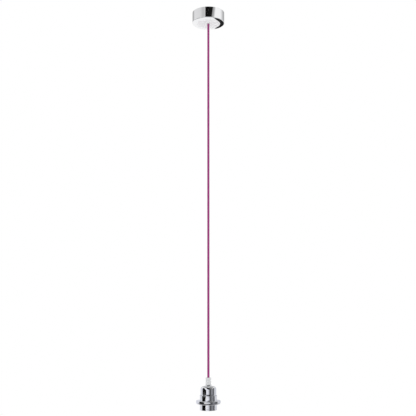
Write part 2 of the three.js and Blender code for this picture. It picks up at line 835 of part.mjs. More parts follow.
function earthTerminal() {
  const half = earthTerminalWidth / 2;
  const depth = earthTerminalDepth / 2;
  const low = at(-half, earthTerminalY - depth, earthFoot);
  const body = block(low, at(half, earthTerminalY + depth, earthTop));
  const holeFoot = at(0, earthTerminalY, earthFoot - overcut);
  const hole = bar(holeFoot, at(0, earthTerminalY, earthTop - earthHoleRoof), wireHoleRadius);
  const side = bar(
    at(0, earthTerminalY, earthScrewHeight),
    at(earthTerminalWidth, earthTerminalY, earthScrewHeight),
    terminalScrewRadius + touchGap,
  );
  return cut(body, hole, side, rivetHole());
}

const earthTerminalScrew = () =>
  screw(
    at(earthTerminalWidth / 2 + touchGap + screwHeadHeight, earthTerminalY, earthScrewHeight),
    at(conductorRadius + touchGap, earthTerminalY, earthScrewHeight),
    terminalScrewRadius,
    screwHeadRadius,
    screwHeadHeight,
  );

function earthRivet() {
  const foot = at(0, earthTerminalY, domeTop + touchGap);
  const top = at(0, earthTerminalY, foot.z + rivetHeadHeight);
  const tip = at(0, earthTerminalY, earthTop - rivetReach);
  return join(bar(foot, top, rivetHeadRadius), bar(tip, top, terminalScrewRadius));
}

// A core in the lampholder falls from the cord's end and turns out to its mains terminal.
function holderCore([x, y], side, foot) {
  const start = at(x, y, cordFoot - touchGap);
  const face = at(side * (terminalX - terminalLength / 2 - touchGap), 0, foot + terminalWireRise);
  const bends = holderCoreWay.map((shares) => onTheWay(start, face, shares));
  return core([start, ...bends, face], at(side * (terminalX + bareEndPastMiddle), 0, face.z));
}

const earthLoopShares = [0.3, 0.8]; // where the loop's low points lie between the cord and the terminal

function holderEarthCore([x, y]) {
  const start = at(x, y, cordFoot - touchGap);
  const face = at(0, earthTerminalY, earthFoot - touchGap);
  const low = Math.min(start.z, face.z) - earthLoopDrop;
  const points = [
    start,
    at(x, y, start.z - earthCoreStub),
    ...earthLoopShares.map((share) => at(0, y + share * (face.y - y), low)),
    at(0, face.y, face.z - earthCoreStub),
    face,
  ];
  return core(points, at(0, face.y, earthTop - earthHoleRoof - 2 * touchGap), earthCoreSteps);
}

// The cord hangs straight under the lampholder's weight, from the stop in the canopy to the dome.
const cordRoute = [cordTop, canopyFloor, -150, -300, -450, -600, -750, gripTop, neckTop, cordFoot];
const cord = () => wire(cordRoute.map((z) => at(0, 0, z)), cordRadius, cordSteps, screwSides);

add("canopy_cup", canopyCup(), chrome);
add("ceiling_bracket", ceilingBracket(), zincSteel);
add("canopy_screw_left", canopyScrew(-1), zincSteel);
add("canopy_screw_right", canopyScrew(1), zincSteel);
add("cord_bushing", cordBushing(), clearPlastic);
add("cord_stop", cordStop(), whitePlastic);
add("cord_stop_screw", cordStopScrew(), zincSteel);
add("terminal_block", terminalBlock(), whitePlastic);
add("terminal_block_screw", blockScrew(), zincSteel);
["live", "neutral", "earth"].forEach((name, pole) => {
  add(`block_${name}_insert`, poleInsert(pole), brass);
  add(`block_${name}_cord_screw`, poleScrew(pole, -1), zincSteel);
  add(`block_${name}_supply_screw`, poleScrew(pole, 1), zincSteel);
});
add("canopy_live_core", canopyCore(liveSpot, 0), brownCore);
add("canopy_neutral_core", canopyCore(neutralSpot, 1), blueCore);
add("canopy_earth_core", canopyCore(earthSpot, 2), greenCore);
add("bracket_earth_washer", earthWasher(), zincSteel);
add("bracket_earth_screw", bracketEarthScrew(), brass);
add("bracket_earth_link", earthLink(), greenCore);

add("textile_cord", cord(), textile);

add("cord_grip", cordGrip(), clearPlastic);
add("cord_grip_screw", cordGripScrew(), clearPlastic);
add("lampholder_dome", dome(), chrome);
add("lampholder_barrel", barrel(), chrome);
add("socket_insert", socketInsert(), porcelain);
add("threaded_shell", threadedShell(), brass);
add("threaded_shell_screw", shellScrew(), zincSteel);
add("centre_contact", centreContact(), brass);
add("live_terminal", liveTerminal(), brass);
add("live_terminal_screw", terminalScrew(-1, liveFoot), zincSteel);
add("neutral_terminal", neutralTerminal(), brass);
add("neutral_terminal_screw", terminalScrew(1, neutralFoot), zincSteel);
add("earth_terminal", earthTerminal(), brass);
add("earth_terminal_screw", earthTerminalScrew(), zincSteel);
add("earth_terminal_rivet", earthRivet(), zincSteel);
add("holder_live_core", holderCore(liveSpot, -1, liveFoot), brownCore);
add("holder_neutral_core", holderCore(neutralSpot, 1, neutralFoot), blueCore);
add("holder_earth_core", holderEarthCore(earthSpot), greenCore);
add("shade_ring", shadeRing(), chrome);

export default pendant;
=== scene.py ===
import math

import bpy
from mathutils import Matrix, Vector


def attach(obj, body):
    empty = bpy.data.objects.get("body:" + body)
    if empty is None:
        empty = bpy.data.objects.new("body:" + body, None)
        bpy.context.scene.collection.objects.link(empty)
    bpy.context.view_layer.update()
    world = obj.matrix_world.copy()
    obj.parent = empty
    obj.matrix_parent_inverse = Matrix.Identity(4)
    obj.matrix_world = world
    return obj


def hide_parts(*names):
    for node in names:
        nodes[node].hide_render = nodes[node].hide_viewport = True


mm = 0.001
fullTurn = 2 * math.pi

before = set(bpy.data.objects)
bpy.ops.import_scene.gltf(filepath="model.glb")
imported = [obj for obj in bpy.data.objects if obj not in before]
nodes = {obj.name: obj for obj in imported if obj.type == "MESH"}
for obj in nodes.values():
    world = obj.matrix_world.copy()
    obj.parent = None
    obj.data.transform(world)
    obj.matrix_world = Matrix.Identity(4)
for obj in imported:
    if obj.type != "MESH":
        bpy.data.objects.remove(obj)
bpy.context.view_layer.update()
print("frame loaded")

# camera at the height of the cord's lower part, looking a little upwards
cameraView = {
    "place": (-0.9, -1751.0, -759.6),
    "tilt": 8.448,
    "lens": 62.95,
    "sensor": 36.0,
    "near": 20,
    "far": 60000,
}

bpy.ops.object.camera_add(
    location=[value * mm for value in cameraView["place"]],
    rotation=(math.radians(90 + cameraView["tilt"]), 0, 0),
)
camera = bpy.context.object
camera.data.lens = cameraView["lens"]
camera.data.sensor_width = cameraView["sensor"]
camera.data.clip_start = cameraView["near"] * mm
camera.data.clip_end = cameraView["far"] * mm
bpy.context.scene.camera = camera
print("camera placed")


# shader nodes
class Signal:
    # one output of a shader node, used in sums like a number
    def __init__(self, finish, socket):
        self.finish = finish
        self.socket = socket

    def combine(self, operation, first, second):
        return self.finish.node("ShaderNodeMath", {"operation": operation}, {0: first, 1: second})

    def __add__(self, other):
        return self.combine("ADD", self, other)

    def __radd__(self, other):
        return self.combine("ADD", other, self)

    def __sub__(self, other):
        return self.combine("SUBTRACT", self, other)

    def __rsub__(self, other):
        return self.combine("SUBTRACT", other, self)

    def __mul__(self, other):
        return self.combine("MULTIPLY", self, other)


class Finish:
    # a material under construction: nodes are added by type, settings and sockets.
    # Noise scales are in cycles per metre and reliefs in millimetres
    def __init__(self, name, tree=None):
        if tree is None:
            self.material = bpy.data.materials.new(name)
            self.material.use_nodes = True
            tree = self.material.node_tree
        self.tree = tree
        self.tree.nodes.clear()

    def node(self, kind, settings=None, sockets=None, output=0):
        made = self.tree.nodes.new(kind)
        for name, value in (settings or {}).items():
            setattr(made, name, value)
        for name, value in (sockets or {}).items():
            if isinstance(value, Signal):
                self.tree.links.new(value.socket, made.inputs[name])
            else:
                made.inputs[name].default_value = value
        return Signal(self, made.outputs[output]) if made.outputs else made

    def apply(self, operation, value):
        return self.node("ShaderNodeMath", {"operation": operation}, {0: value})

    def place(self):
        return self.node("ShaderNodeTexCoord", output="Object")

    def component(self, vector, axis):
        return self.node("ShaderNodeSeparateXYZ", sockets={0: vector}, output="XYZ".index(axis))

    def along(self, axis):
        return self.component(self.place(), axis)

    def fromAxis(self):
        x, y = self.along("X"), self.along("Y")
        return self.apply("SQRT", x * x + y * y)

    def noise(self, scale, detail, vector=None):
        sockets = {"Vector": vector or self.place(), "Scale": scale, "Detail": detail}
        return self.node("ShaderNodeTexNoise", sockets=sockets)

    def stretched(self, scale):
        return self.node("ShaderNodeMapping", sockets={"Vector": self.place(), "Scale": scale})

    def ramp(self, value, low, high, toLow=0.0, toHigh=1.0):
        limits = {"From Min": low, "From Max": high, "To Min": toLow, "To Max": toHigh}
        settings = {"interpolation_type": "SMOOTHSTEP"}
        return self.node("ShaderNodeMapRange", settings, {"Value": value, **limits})

    def blend(self, factor, first, second):
        tones = [tone if isinstance(tone, Signal) else (*tone, 1.0) for tone in (first, second)]
        sockets = {0: factor, 6: tones[0], 7: tones[1]}  # the mix node's colours are 6 and 7
        return self.node("ShaderNodeMix", {"data_type": "RGBA"}, sockets, output=2)

    def bump(self, height, relief, strength):
        sockets = {"Height": height, "Distance": relief * mm, "Strength": strength}
        return self.node("ShaderNodeBump", sockets=sockets)

    def surface(self, sockets):
        shader = self.node("ShaderNodeBsdfPrincipled", sockets=sockets)
        self.node("ShaderNodeOutputMaterial", sockets={"Surface": shader})
        return self.material


# chrome, clouded a little, with fine marks round it
chromeLook = {
    "tone": (0.89, 0.89, 0.90),
    "shade": (0.85, 0.86, 0.88),
    "cloud": 38.0,
    "marks": (300, 300, 2600),
    "roughness": (0.03, 0.07),
    "relief": 0.004,
}
satinDisc = {  # the flat middle of the canopy's underside has a pale satin face
    "radius": 29.4,
    "height": -28.4,
    "edge": 0.4,
    "depth": 0.2,
    "roughness": 0.5,
    "paint": 0.62,
    "tone": (0.97, 0.97, 0.98),
}


def makeChrome(name, disc=None):
    finish = Finish(name)
    cloud = finish.noise(chromeLook["cloud"], 3.0)
    marks = finish.noise(1.0, 2.0, finish.stretched(chromeLook["marks"]))
    rough = finish.ramp(cloud, 0.42, 0.75, *chromeLook["roughness"])
    metallic = 1.0
    tone = finish.blend(finish.ramp(cloud, 0.3, 0.8), chromeLook["tone"], chromeLook["shade"])
    if disc:
        within = disc["radius"] * mm - finish.fromAxis()
        under = disc["height"] * mm - finish.along("Z")
        cover = finish.ramp(within, 0, disc["edge"] * mm)
        cover = cover * finish.ramp(under, 0, disc["depth"] * mm)
        rough = rough + cover * disc["roughness"]
        metallic = 1 - cover * disc["paint"]
        tone = finish.blend(cover, tone, disc["tone"])
    return finish.surface({
        "Base Color": tone,
        "Metallic": metallic,
        "Roughness": rough,
        "Normal": finish.bump(marks, chromeLook["relief"], 0.25),
    })


# zinc plating: spangled grey with a fine grain
zincLook = {
    "tone": (0.60, 0.61, 0.63),
    "shade": (0.58, 0.57, 0.50),
    "spangle": 420.0,
    "grain": 1400.0,
    "roughness": 0.26,
    "relief": 0.02,
}


def makeZinc(name):
    finish = Finish(name)
    spangle = finish.node(
        "ShaderNodeTexVoronoi",
        sockets={"Vector": finish.place(), "Scale": zincLook["spangle"]},
        output="Color",
    )
    grey = finish.node("ShaderNodeSeparateColor", sockets={0: spangle})
    grain = finish.noise(zincLook["grain"], 3.0)
    return finish.surface({
        "Base Color": finish.blend(grey * 0.6 + grain * 0.4, zincLook["tone"], zincLook["shade"]),
        "Metallic": 1.0,
        "Roughness": zincLook["roughness"] + grey * 0.1 + grain * 0.12,
        "Normal": finish.bump(grain, zincLook["relief"], 0.4),
    })


# brass, darker in patches
brassLook = {
    "tone": (0.72, 0.52, 0.24),
    "shade": (0.50, 0.33, 0.13),
    "patch": 220.0,
    "grain": 2200.0,
    "roughness": 0.2,
    "relief": 0.01,
}


def makeBrass(name):
    finish = Finish(name)
    patch = finish.noise(brassLook["patch"], 4.0)
    grain = finish.noise(brassLook["grain"], 2.0)
    darker = finish.ramp(patch, 0.45, 0.8)
    return finish.surface({
        "Base Color": finish.blend(darker, brassLook["tone"], brassLook["shade"]),
        "Metallic": 1.0,
        "Roughness": brassLook["roughness"] + patch * 0.22,
        "Normal": finish.bump(grain, brassLook["relief"], 0.3),
    })


# clear plastic of the grip and the bushing, slightly hazy
clearLook = {
    "tone": (0.93, 0.95, 0.95),
    "shade": (0.97, 0.98, 0.99),
    "haze": 160.0,
    "grain": 900.0,
    "roughness": 0.16,
    "clearness": 0.28,
    "relief": 0.02,
}


def makeClearPlastic(name):
    finish = Finish(name)
    haze = finish.noise(clearLook["haze"], 3.0)
    return finish.surface({
        "Base Color": finish.blend(haze, clearLook["tone"], clearLook["shade"]),
        "Roughness": clearLook["roughness"] + haze * 0.12,
        "IOR": 1.46,
        "Transmission Weight": clearLook["clearness"],
        "Coat Weight": 0.3,
        "Coat Roughness": 0.1,
        "Normal": finish.bump(finish.noise(clearLook["grain"], 2.0), clearLook["relief"], 0.3),
    })


# white plastic of the terminal block and the cord stop
plasticLook = {
    "tone": (0.80, 0.80, 0.77),
    "shade": (0.74, 0.74, 0.71),
    "cloud": 90.0,
    "grain": 2600.0,
    "roughness": 0.34,
    "relief": 0.03,
}


def makePlastic(name):
    finish = Finish(name)
    grain = finish.noise(plasticLook["grain"], 2.0)
    cloud = finish.noise(plasticLook["cloud"], 3.0)
    return finish.surface({
        "Base Color": finish.blend(cloud, plasticLook["tone"], plasticLook["shade"]),
        "Roughness": plasticLook["roughness"] + grain * 0.18,
        "IOR": 1.5,
        "Normal": finish.bump(grain, plasticLook["relief"], 0.35),
    })


# glazed porcelain with a few brown specks
porcelainLook = {
    "tone": (0.83, 0.82, 0.78),
    "shade": (0.88, 0.87, 0.84),
    "speckTone": (0.45, 0.40, 0.33),
    "cloud": 120.0,
    "specks": 900.0,
    "roughness": 0.14,
    "relief": 0.1,
}


def makePorcelain(name):
    finish = Finish(name)
    cloud = finish.noise(porcelainLook["cloud"], 3.0)
    speck = finish.ramp(finish.noise(porcelainLook["specks"], 2.0), 0.70, 0.78)
    glaze = finish.blend(cloud, porcelainLook["tone"], porcelainLook["shade"])
    return finish.surface({
        "Base Color": finish.blend(speck * 0.35, glaze, porcelainLook["speckTone"]),
        "Roughness": porcelainLook["roughness"] + cloud * 0.14,
        "Coat Weight": 0.5,
        "Coat Roughness": 0.08,
        "Normal": finish.bump(cloud, porcelainLook["relief"], 0.25),
    })


# insulated core: its sleeve, and its copper end past the given distance from the cord's axis
coreLook = {
    "live": (0.16, 0.06, 0.025),
    "neutral": (0.03, 0.11, 0.40),
    "earth": (0.08, 0.33, 0.06),
    "stripe": (0.62, 0.55, 0.06),
    "stripeFrom": 0.4,
    "stripeEdge": 0.12,
    "bareEdge": 0.1,
    "copper": (0.80, 0.42, 0.25),
    "copperShade": (0.55, 0.26, 0.14),
    "grain": 1800.0,
    "strands": (900, 2600, 2600),
    "roughness": 0.42,
    "relief": 0.06,
}


def makeCore(name, pole, bareFrom):
    finish = Finish(name)
    bare = finish.ramp(finish.fromAxis(), bareFrom * mm, (bareFrom + coreLook["bareEdge"]) * mm)
    grain = finish.noise(coreLook["grain"], 2.0)
    sleeve = finish.blend(grain, coreLook[pole], [0.8 * value for value in coreLook[pole]])
    if pole == "earth":
        stripeEnd = coreLook["stripeFrom"] + coreLook["stripeEdge"]
        slant = finish.along("X") + finish.along("Z") * 0.35
        stripe = finish.ramp(slant, coreLook["stripeFrom"] * mm, stripeEnd * mm)
        sleeve = finish.blend(stripe, sleeve, coreLook["stripe"])
    strands = finish.noise(1.0, 1.0, finish.stretched(coreLook["strands"]))
    copper = finish.blend(strands, coreLook["copper"], coreLook["copperShade"])
    return finish.surface({
        "Base Color": finish.blend(bare, sleeve, copper),
        "Metallic": bare,
        "Roughness": coreLook["roughness"] - bare * 0.12,
        "Normal": finish.bump(strands * bare + grain * 0.2, coreLook["relief"], 0.5),
    })


chrome = makeChrome("chrome")
canopyChrome = makeChrome("canopyChrome", satinDisc)
zinc = makeZinc("zincSteel")
brass = makeBrass("brass")
clearPlastic = makeClearPlastic("clearPlastic")
whitePlastic = makePlastic("whitePlastic")
porcelain = makePorcelain("porcelain")
print("finishes made")


# modelling helpers, in millimetres except for the merging distance
mergeDistance = 0.000002
edgeHold = 0.25  # an undivided run gets an edge this far from each end, so that it shades flat
holeSides = 32
overcut = 2  # how far a cutter goes past the faces that it cuts


def roundedSection(corners, steps=5):
    # a closed section from its corners (radius, height, fillet), each fillet in short steps
    points = []
    for index, (radius, height, fillet) in enumerate(corners):
        corner = Vector((radius, height))
        if not fillet:
            points.append(corner)
            continue
        before = (Vector(corners[index - 1][:2]) - corner).normalized()
        after = (Vector(corners[(index + 1) % len(corners)][:2]) - corner).normalized()
        half = before.angle(after) / 2
        start = corner + before * (fillet / math.tan(half))
        end = corner + after * (fillet / math.tan(half))
        centre = corner + (before + after).normalized() * (fillet / math.sin(half))
        first, last = start - centre, end - centre
        sweep = first.angle(last)
        for step in range(steps + 1):
            share = step / steps
            points.append(centre + (
                first * math.sin((1 - share) * sweep) + last * math.sin(share * sweep)
            ) / math.sin(sweep))
    return points


def stopsAlong(length, cuts):
    # shares of a straight run where it is divided: evenly, or only near its ends
    if cuts:
        parts = max(1, math.ceil(length / cuts))
        return [(part + 1) / parts for part in range(parts)]
    return [edgeHold / length, 1 - edgeHold / length, 1] if length > 4 * edgeHold else [1]


def spinPiece(name, section, sides, closed=True, cuts=0):
    # a section of (radius, height) points, drawn by extruding one vertex, and spun about Z
    points = [Vector(point[:2]) for point in section]
    if closed:
        points.append(points[0])
    bpy.ops.object.select_all(action="DESELECT")
    bpy.ops.mesh.primitive_plane_add(size=mm, location=(points[0].x * mm, 0, points[0].y * mm))
    piece = bpy.context.object
    piece.name = name
    bpy.ops.object.transform_apply()
    bpy.ops.object.mode_set(mode="EDIT")
    bpy.ops.mesh.select_mode(type="VERT")
    bpy.ops.mesh.select_all(action="SELECT")
    bpy.ops.mesh.merge(type="CENTER")
    for here, there in zip(points, points[1:]):
        done = 0
        for share in stopsAlong((there - here).length, cuts):
            step = (there - here) * mm * (share - done)
            bpy.ops.mesh.extrude_region_move(TRANSFORM_OT_translate={"value": (step.x, 0, step.y)})
            done = share
    bpy.ops.mesh.select_all(action="SELECT")
    bpy.ops.mesh.spin(steps=sides, angle=fullTurn, center=(0, 0, 0), axis=(0, 0, 1))
    bpy.ops.mesh.select_all(action="SELECT")
    bpy.ops.mesh.remove_doubles(threshold=mergeDistance)
    bpy.ops.mesh.normals_make_consistent(inside=False)
    bpy.ops.object.mode_set(mode="OBJECT")
    return piece


def cutThread(piece, thread):
    # moves a turned wall's vertices inwards along a right-hand helix that fades at both ends,
    # or outwards where the depth is negative. The wall lies between the radii inner and outer and
    # is divided at lengths of the value cuts
    low, high = thread["from"] * mm, thread["to"] * mm
    pitch, depth, fade = thread["pitch"] * mm, thread["depth"] * mm, thread["fade"] * mm
    inner, outer = thread["inner"] * mm, thread["outer"] * mm
    for vertex in piece.data.vertices:
        x, y, z = vertex.co
        radius = math.hypot(x, y)
        if not (low < z < high and inner < radius < outer):
            continue
        phase = z / pitch - math.atan2(y, x) / fullTurn
        wave = 0.5 - 0.5 * math.cos(fullTurn * phase)
        run = min(1.0, (z - low) / fade, (high - z) / fade)
        scale = 1 - depth * wave * run * run * (3 - 2 * run) / radius
        vertex.co = (x * scale, y * scale, z)
    piece.data.update()


def cutAway(piece, cutter):
    bpy.ops.object.select_all(action="DESELECT")
    piece.select_set(True)
    bpy.context.view_layer.objects.active = piece
    bpy.ops.object.modifier_add(type="BOOLEAN")
    piece.modifiers[-1].object = cutter
    piece.modifiers[-1].operation = "DIFFERENCE"
    piece.modifiers[-1].solver = "EXACT"
    bpy.ops.object.modifier_apply(modifier=piece.modifiers[-1].name)
    bpy.data.objects.remove(cutter)


def drill(piece, radius, middle, length, axis):
    # a round hole along X or Z, by the middle and the length of its cutter
    bpy.ops.mesh.primitive_cylinder_add(
        vertices=holeSides,
        radius=radius * mm,
        depth=length * mm,
        location=[value * mm for value in middle],
        rotation=(0, math.radians(90) if axis == "X" else 0, 0),
    )
    cutAway(piece, bpy.context.object)


def finishPiece(piece, material, slot, body, *replaced, angle=35):
    bpy.ops.object.select_all(action="DESELECT")
    piece.select_set(True)
    bpy.context.view_layer.objects.active = piece
    bpy.ops.object.shade_smooth_by_angle(angle=math.radians(angle))
    piece.data.materials.clear()
    piece.data.materials.append(material)
    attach(piece, body)
    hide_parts(*replaced)


# textile cord: a braided tube along its straight hanging route
cordSet = {
    "top": -16.8,
    "foot": -929.5,
    "radius": 2.7,
    "sides": 32,
    "step": 0.46,
    "carriers": 8,  # yarn bundles in each direction
    "yarns": 5,  # yarns in a bundle
    "lay": 11.0,  # height in which a bundle goes once round
    "relief": 0.09,
    "yarnRelief": 0.12,
    "seam": 0.01,  # the tube's edges are merged within this distance
    "exit": -28.8,
    "routePoints": 40,
    "tones": ((0.41, 0.025, 0.22), (0.48, 0.036, 0.275)),
    # painted shade: darker copies of the yarn colour for the braid's valleys
    "valleyShadeTones": ((0.16, 0.006, 0.09), (0.25, 0.012, 0.14)),
    "sheenTone": (0.95, 0.55, 0.8, 1.0),
}


def makeCordFinish():
    finish = Finish("textileYarn")
    chart = finish.node("ShaderNodeUVMap", {"uv_map": "braid"})
    turn, height = finish.component(chart, "X"), finish.component(chart, "Y")
    bundles = cordSet["carriers"] * fullTurn
    yarns = bundles * cordSet["yarns"]
    weave = finish.apply("SINE", (turn + height) * bundles)
    weave = weave * finish.apply("SINE", (turn - height) * bundles)
    over = finish.ramp(weave, -0.15, 0.15)  # where the right-hand bundles lie on top
    rightYarn = finish.apply("SINE", (turn - height) * yarns)
    leftYarn = finish.apply("SINE", (turn + height) * yarns)
    yarn = rightYarn * over + leftYarn * (1 - over)
    crown = finish.ramp(finish.apply("ABSOLUTE", weave), 0.0, 0.35)
    fluff = finish.noise(2400.0, 3.0)
    bright = finish.blend(finish.noise(70.0, 2.0), *cordSet["tones"])
    # painted shade: the valley colour, a darker copy of the yarn
    paintedValleyShade = finish.blend(fluff, *cordSet["valleyShadeTones"])
    relief = yarn * 0.5 + crown * 0.6 + fluff * 0.5
    return finish.surface({
        # painted shade: the colour darkens from the bundles' crowns into the valleys and between
        # the yarns
        "Base Color": finish.blend(crown * (0.72 + yarn * 0.28), paintedValleyShade, bright),
        "Roughness": 0.72 + fluff * 0.2,
        "Sheen Weight": 0.35,
        "Sheen Roughness": 0.5,
        "Sheen Tint": cordSet["sheenTone"],
        "Normal": finish.bump(relief, cordSet["yarnRelief"], 0.8),
    })


def makeCord():
    sides = cordSet["sides"]
    length = cordSet["top"] - cordSet["foot"]
    rings = round(length / cordSet["step"])
    bpy.ops.object.select_all(action="DESELECT")
    bpy.ops.mesh.primitive_grid_add(
        x_subdivisions=sides, y_subdivisions=rings, size=2, location=(0, 0, 0)
    )
    piece = bpy.context.object
    piece.name = "textile_cord_braid"
    chart = piece.data.uv_layers[0]
    chart.name = "braid"
    for loop in piece.data.loops:  # the chart is laid while the grid is still flat
        x, y, _ = piece.data.vertices[loop.vertex_index].co
        chart.data[loop.index].uv = ((x + 1) / 2, -(y + 1) / 2 * length / cordSet["lay"])
    for vertex in piece.data.vertices:  # the grid is rolled into a tube
        turn = (vertex.co.x + 1) / 2
        share = (vertex.co.y + 1) / 2
        height = share * length
        first = math.sin((turn - height / cordSet["lay"]) * fullTurn * cordSet["carriers"])
        second = math.sin((turn + height / cordSet["lay"]) * fullTurn * cordSet["carriers"])
        radius = cordSet["radius"] - cordSet["relief"] * (1 - abs(first * second))
        angle = turn * fullTurn
        vertex.co = (
            radius * math.cos(angle) * mm,
            radius * math.sin(angle) * mm,
            (cordSet["top"] - height) * mm,
        )
    bpy.ops.object.mode_set(mode="EDIT")
    bpy.ops.mesh.select_all(action="SELECT")
    bpy.ops.mesh.remove_doubles(threshold=cordSet["seam"] * mm)
    bpy.ops.mesh.select_all(action="DESELECT")
    bpy.ops.mesh.select_mode(type="EDGE")
    bpy.ops.mesh.select_non_manifold()
    bpy.ops.mesh.edge_face_add()
    bpy.ops.mesh.select_all(action="SELECT")
    bpy.ops.mesh.normals_make_consistent(inside=False)
    bpy.ops.object.mode_set(mode="OBJECT")
    piece.data.shade_smooth()
    return piece


cord = makeCord()
cord.data.materials.append(makeCordFinish())
cord.visible_glossy = False  # the photo's chrome shows no cord in it
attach(cord, "pendant")
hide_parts("textile_cord")
print("cord braided")

# canopy: a drawn cup with a shallow dished shoulder round its flat middle
canopy = {
    "radius": 40.0,
    "height": 28.8,
    "wall": 1.0,
    "floorRadius": 29.5,
    "shoulderDrop": 0.8,
    "edge": 1.0,
    "rimBevel": 0.25,
    "hole": 4.2,
    "screwDrop": 9.0,
    "screwHole": 2.3,
    "sides": 144,
}


def shoulderPoints(values, inset, lift, steps=10):
    # the shoulder bends away from the flat middle and grows steeper outwards
    inner, outer = values["floorRadius"], values["radius"] - inset
    points = []
    for step in range(steps + 1):
        share = step / steps
        rise = values["shoulderDrop"] * share * (1 + share) / 2
        points.append((inner + (outer - inner) * share, -values["height"] + lift + rise))
    return points


def edgePoints(radius, height, edge, angles):
    # a rounded edge of the section, by its centre
    turns = [math.radians(angle) for angle in angles]
    return [(radius + edge * math.cos(turn), height + edge * math.sin(turn)) for turn in turns]


def makeCanopy(values):
    radius, wall, edge, height = values["radius"], values["wall"], values["edge"], values["height"]
    bevel, hole = values["rimBevel"], values["hole"]
    inside = radius - wall
    rim = -height + values["shoulderDrop"]
    angles = range(-75, 1, 15)  # from the shoulder's slope to the upright wall
    outerSection = shoulderPoints(values, edge, 0)
    outerSection += edgePoints(radius - edge, rim + edge, edge, angles)
    outerSection += [(radius, -bevel), (radius - bevel, 0)]
    innerSection = [(inside + bevel, 0), (inside, -bevel)]
    innerSection += edgePoints(inside - edge, rim + wall + edge, edge, reversed(angles))
    innerSection += reversed(shoulderPoints(values, wall + edge, wall))
    section = [(hole, -height), *outerSection, *innerSection, (hole, -height + wall)]
    piece = spinPiece("canopy_cup_shell", section, values["sides"])
    drill(piece, values["screwHole"], (0, 0, -values["screwDrop"]), 2 * (radius + overcut), "X")
    return piece


finishPiece(makeCanopy(canopy), canopyChrome, "chrome", "pendant", "canopy_cup")

# bushing: the clear grommet in the canopy's middle
bushing = {
    "bore": 3.0,
    "neck": 3.9,
    "flange": 5.6,
    "lip": 4.3,
    "top": -26.3,
    "flangeFoot": -27.5,
    "lipTop": -28.85,
    "foot": -29.1,
    "sides": 48,
}


def makeBushing(values):
    return spinPiece("cord_bushing_ring", roundedSection([
        (values["bore"], values["top"], 0.25),
        (values["flange"], values["top"], 0.3),
        (values["flange"], values["flangeFoot"], 0.2),
        (values["neck"], values["flangeFoot"], 0),
        (values["neck"], values["lipTop"], 0),
        (values["lip"], values["lipTop"], 0.06),
        (values["lip"], values["foot"], 0.12),
        (values["bore"], values["foot"], 0.1),
    ], steps=4), values["sides"])


finishPiece(makeBushing(bushing), clearPlastic, "clear_plastic", "pendant", "cord_bushing")
print("canopy shaped")

# cord grip: a waisted clear sleeve with a hollow threaded shank that goes down into the neck
grip = {
    "bore": 3.0,
    "top": -902.8,
    "collar": 6.7,
    "collarFoot": -907.8,
    "collarSlope": 0.6,
    "waist": 6.1,
    "waistFoot": -915.8,
    "flare": 6.5,
    "flareSlope": 0.8,
    "foot": -919.8,
    "shank": 4.9,
    "shankFoot": -928.3,
    "screwHeight": -911.8,
    "screwHole": 1.9,
    "thread": {
        "from": -928.0, "to": -920.0, "inner": 4.7, "outer": 5.0,
        "pitch": 1.0, "depth": 0.5, "fade": 0.6, "cuts": 0.35,
    },
    "sides": 64,
}


def makeGrip(values):
    piece = spinPiece("cord_grip_sleeve", roundedSection([
        (values["bore"], values["top"], 0.4),
        (values["collar"], values["top"], 1.0),
        (values["collar"], values["collarFoot"] + values["collarSlope"], 0.6),
        (values["waist"], values["collarFoot"], 0.5),
        (values["waist"], values["waistFoot"], 0.5),
        (values["flare"], values["waistFoot"] - values["flareSlope"], 0.5),
        (values["flare"], values["foot"], 0.3),
        (values["shank"], values["foot"], 0),
        (values["shank"], values["shankFoot"], 0.3),
        (values["bore"], values["shankFoot"], 0.2),
    ]), values["sides"], cuts=values["thread"]["cuts"])
    cutThread(piece, values["thread"])
    screwMiddle = (values["waist"], 0, values["screwHeight"])
    drill(piece, values["screwHole"], screwMiddle, 2 * values["waist"], "X")
    return piece


finishPiece(makeGrip(grip), clearPlastic, "clear_plastic", "pendant", "cord_grip")

# dome: the upper shell, with its short neck and the threaded boss inside
dome = {
    "radius": 18.5,
    "wall": 1.2,
    "neckTop": -920.1,
    "top": -922.3,
    "slope": 1.5,
    "foot": -947.6,
    "jointTop": -940.3,
    "jointFoot": -943.3,
    "jointDepth": 0.6,
    "jointFloor": 1.0,
    "jointEnd": 1.5,
    "shoulder": 6.5,
    "neck": 9.0,
    "neckTaper": 1.9,
    "neckHole": 5.2,
    "boss": 7.3,
    "bossFoot": -928.5,
    "rivetY": 10.6,
    "rivetHole": 1.5,
    "sides": 128,
}


def makeDome(values):
    radius, wall, shoulder = values["radius"], values["wall"], values["shoulder"]
    jointRadius, jointFoot = radius - values["jointDepth"], values["jointFoot"]
    slopeFoot = values["top"] - values["slope"]
    piece = spinPiece("lampholder_dome_shell", roundedSection([
        (values["neckHole"], values["neckTop"], 0.3),
        (values["neck"] - values["neckTaper"], values["neckTop"], 0.5),
        (values["neck"], values["top"], 0.6),
        (radius, slopeFoot, shoulder),
        (radius, values["jointTop"], 0.6),
        (jointRadius, jointFoot, 0.3),
        (jointRadius, jointFoot - values["jointFloor"], 0.2),
        (radius, jointFoot - values["jointEnd"], 0.2),
        (radius, values["foot"], 0.2),
        (radius - wall, values["foot"], 0.2),
        (radius - wall, slopeFoot - wall, shoulder - wall),
        (values["boss"], values["top"] - wall, 0),
        (values["boss"], values["bossFoot"], 0.3),
        (values["neckHole"], values["bossFoot"], 0.3),
    ], steps=12), values["sides"])
    drill(piece, values["rivetHole"], (0, values["rivetY"], values["top"]), 4 * wall, "Z")
    return piece


finishPiece(makeDome(dome), chrome, "chrome", "pendant", "lampholder_dome")

